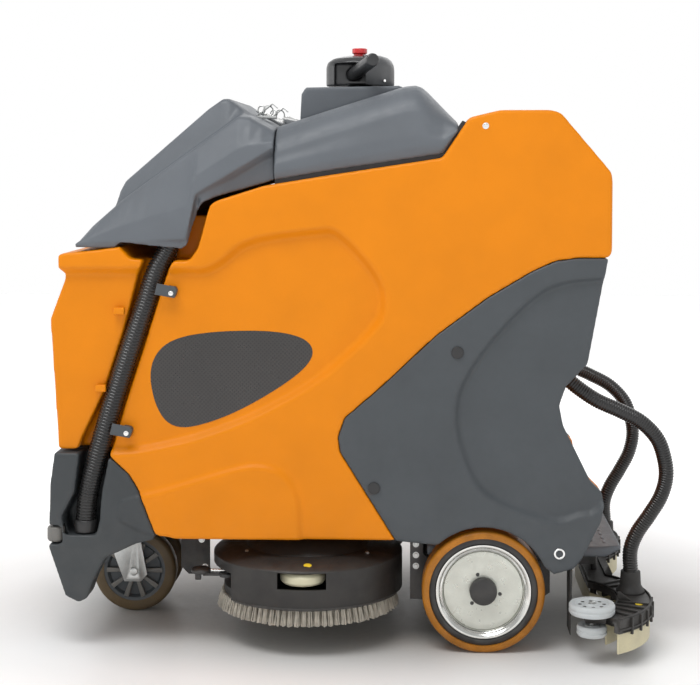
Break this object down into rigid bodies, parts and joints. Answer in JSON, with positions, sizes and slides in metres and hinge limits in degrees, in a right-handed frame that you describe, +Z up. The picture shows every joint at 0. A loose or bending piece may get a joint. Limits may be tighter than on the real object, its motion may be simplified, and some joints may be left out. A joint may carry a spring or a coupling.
{
  "type": "floor scrubber",
  "caption": "Stand-on floor scrubber: orange tank body with a rear cockpit, grey hoods and covers, disc brush deck, driven wheels, steered front wheels and a double-curved squeegee",
  "frame": {"origin": "on the floor, under the middle of the machine", "axes": "+X points to the rear where the operator stands, +Y to the right-hand side of the machine, +Z up"},
  "size_m": [1.4688, 0.972, 1.42],
  "materials": {
    "tank_orange": "rotomoulded orange polyethylene",
    "grey_plastic": "fine-grained grey polyethylene",
    "black_plastic": "black moulded plastic",
    "deck_plastic": "dark grey structural plastic",
    "hose_plastic": "black corrugated hose",
    "frame_paint": "black powder coat",
    "zinc_steel": "zinc-plated steel",
    "bright_steel": "bright plated steel",
    "tyre_orange": "orange-brown polyurethane",
    "tyre_brown": "brown polyurethane",
    "rubber_black": "black rubber",
    "blade_rubber": "cream gum rubber",
    "roller_grey": "pale grey polyurethane",
    "roller_cream": "cream plastic",
    "bristle": "stiff nylon bristle",
    "decal_dark": "dark film decal",
    "button_red": "red plastic",
    "battery_case": "battery case",
    "display": "dark display window"
  },
  "bodies": {
    "root": {"chassis_frame": "frame_paint", "main_tank": "tank_orange", "battery_pack": "battery_case", "vacuum_motor": "deck_plastic", "front_bumper": "grey_plastic", "side_cover_left": "grey_plastic", "side_cover_right": "grey_plastic", "cover_caps": "black_plastic", "cover_eyelets": "bright_steel", "decals": "decal_dark", "console_cover": "grey_plastic", "console_box": "grey_plastic", "display_panel": "display", "platform_plate": "grey_plastic", "mud_flaps": "rubber_black", "drain_hose": "hose_plastic", "drain_fittings": "black_plastic", "hose_clips": "grey_plastic", "clip_screws": "bright_steel", "lift_actuator": "zinc_steel", "drive_motors": "frame_paint", "squeegee_hitch": "frame_paint", "lid_hinges": "bright_steel", "suction_hose_left": "hose_plastic", "suction_hose_right": "hose_plastic"},
    "lid": {"tank_lid": "grey_plastic", "lid_leaves": "bright_steel"},
    "steering": {"steering_head": "black_plastic", "handlebar": "black_plastic", "head_screws": "bright_steel"},
    "throttle": {"throttle_lever": "black_plastic"},
    "stop": {"stop_button": "button_red"},
    "pedal": {"presence_pedal": "rubber_black"},
    "fork": {"front_fork": "zinc_steel", "fork_axle": "zinc_steel"},
    "front_left": {"front_wheel_left": "tyre_brown"},
    "front_right": {"front_wheel_right": "tyre_brown"},
    "drive_left": {"drive_tyre_left": "tyre_orange", "drive_rim_left": "black_plastic", "wheel_disc_left": "bright_steel"},
    "drive_right": {"drive_tyre_right": "tyre_orange", "drive_rim_right": "black_plastic", "wheel_disc_right": "bright_steel"},
    "corner_left": {"corner_roller_left": "black_plastic"},
    "corner_right": {"corner_roller_right": "black_plastic"},
    "deck": {"brush_deck": "deck_plastic", "brush_motors": "frame_paint", "deck_latches": "zinc_steel"},
    "deck_roll_left": {"deck_roller_left": "roller_cream"},
    "deck_roll_right": {"deck_roller_right": "roller_cream"},
    "scrub_left": {"brush_left": "black_plastic", "bristles_left": "bristle"},
    "scrub_right": {"brush_right": "black_plastic", "bristles_right": "bristle"},
    "squeegee": {"squeegee_body": "deck_plastic", "front_blade": "blade_rubber", "rear_blade": "blade_rubber", "hose_adapters": "rubber_black"},
    "roller_left": {"bumper_rollers_left": "roller_grey"},
    "roller_right": {"bumper_rollers_right": "roller_grey"}
  },
  "joints": [
    {"name": "lid_hinge", "type": "hinge", "parent": "root", "child": "lid", "pos_m": [-0.164, 0, 1.24], "axis": [0, 1, 0], "range_deg": [0, 65]},
    {"name": "steering_turn", "type": "hinge", "parent": "root", "child": "steering", "pos_m": [0.012, 0, 1.325], "axis": [0, 0, 1], "range_deg": [-50, 50]},
    {"name": "fork_turn", "type": "hinge", "parent": "root", "child": "fork", "pos_m": [-0.554, 0, 0.25], "axis": [0, 0, 1], "range_deg": [-50, 50]},
    {"name": "throttle_tilt", "type": "hinge", "parent": "steering", "child": "throttle", "pos_m": [0.008, 0, 1.328], "axis": [0, 1, 0], "range_deg": [-8, 8], "stiffness_Nm_per_rad": 1},
    {"name": "stop_press", "type": "slide", "parent": "steering", "child": "stop", "axis": [0, 0, -1], "range_m": [0, 0.005], "stiffness_N_per_m": 1500, "springref_m": -0.002},
    {"name": "pedal_press", "type": "slide", "parent": "root", "child": "pedal", "axis": [0, 0, -1], "range_m": [0, 0.005], "stiffness_N_per_m": 4000, "springref_m": -0.002},
    {"name": "front_left_spin", "type": "hinge", "parent": "fork", "child": "front_left", "pos_m": [-0.554, -0.0575, 0.105], "axis": [0, 1, 0], "continuous": true},
    {"name": "front_right_spin", "type": "hinge", "parent": "fork", "child": "front_right", "pos_m": [-0.554, 0.0575, 0.105], "axis": [0, 1, 0], "continuous": true},
    {"name": "drive_left_spin", "type": "hinge", "parent": "root", "child": "drive_left", "pos_m": [0.312, -0.335, 0.1425], "axis": [0, 1, 0], "continuous": true},
    {"name": "drive_right_spin", "type": "hinge", "parent": "root", "child": "drive_right", "pos_m": [0.312, 0.335, 0.1425], "axis": [0, 1, 0], "continuous": true},
    {"name": "corner_left_spin", "type": "hinge", "parent": "root", "child": "corner_left", "pos_m": [-0.686, -0.358, 0.268], "axis": [0, 0, 1], "continuous": true},
    {"name": "corner_right_spin", "type": "hinge", "parent": "root", "child": "corner_right", "pos_m": [-0.686, 0.358, 0.268], "axis": [0, 0, 1], "continuous": true},
    {"name": "deck_lower", "type": "slide", "parent": "root", "child": "deck", "axis": [0, 0, -1], "range_m": [0, 0.075]},
    {"name": "deck_roller_left_spin", "type": "hinge", "parent": "deck", "child": "deck_roll_left", "pos_m": [-0.104, -0.393, 0.183], "axis": [0, 0, 1], "continuous": true},
    {"name": "deck_roller_right_spin", "type": "hinge", "parent": "deck", "child": "deck_roll_right", "pos_m": [-0.104, 0.393, 0.183], "axis": [0, 0, 1], "continuous": true},
    {"name": "brush_left_spin", "type": "hinge", "parent": "deck", "child": "scrub_left", "pos_m": [-0.104, -0.22, 0.12], "axis": [0, 0, 1], "continuous": true},
    {"name": "brush_right_spin", "type": "hinge", "parent": "deck", "child": "scrub_right", "pos_m": [-0.104, 0.22, 0.12], "axis": [0, 0, 1], "continuous": true},
    {"name": "squeegee_lower", "type": "slide", "parent": "root", "child": "squeegee", "axis": [0, 0, -1], "range_m": [0, 0.035], "deforming": ["suction_hose_left", "suction_hose_right"]},
    {"name": "roller_left_spin", "type": "hinge", "parent": "squeegee", "child": "roller_left", "pos_m": [0.554, -0.434, 0.11], "axis": [0, 0, 1], "continuous": true},
    {"name": "roller_right_spin", "type": "hinge", "parent": "squeegee", "child": "roller_right", "pos_m": [0.554, 0.434, 0.11], "axis": [0, 0, 1], "continuous": true}
  ],
  "couplings": [
    {"joint": "steering_turn", "follows": "fork_turn", "ratio": 1},
    {"joint": "brush_right_spin", "follows": "brush_left_spin", "ratio": -1}
  ]
}
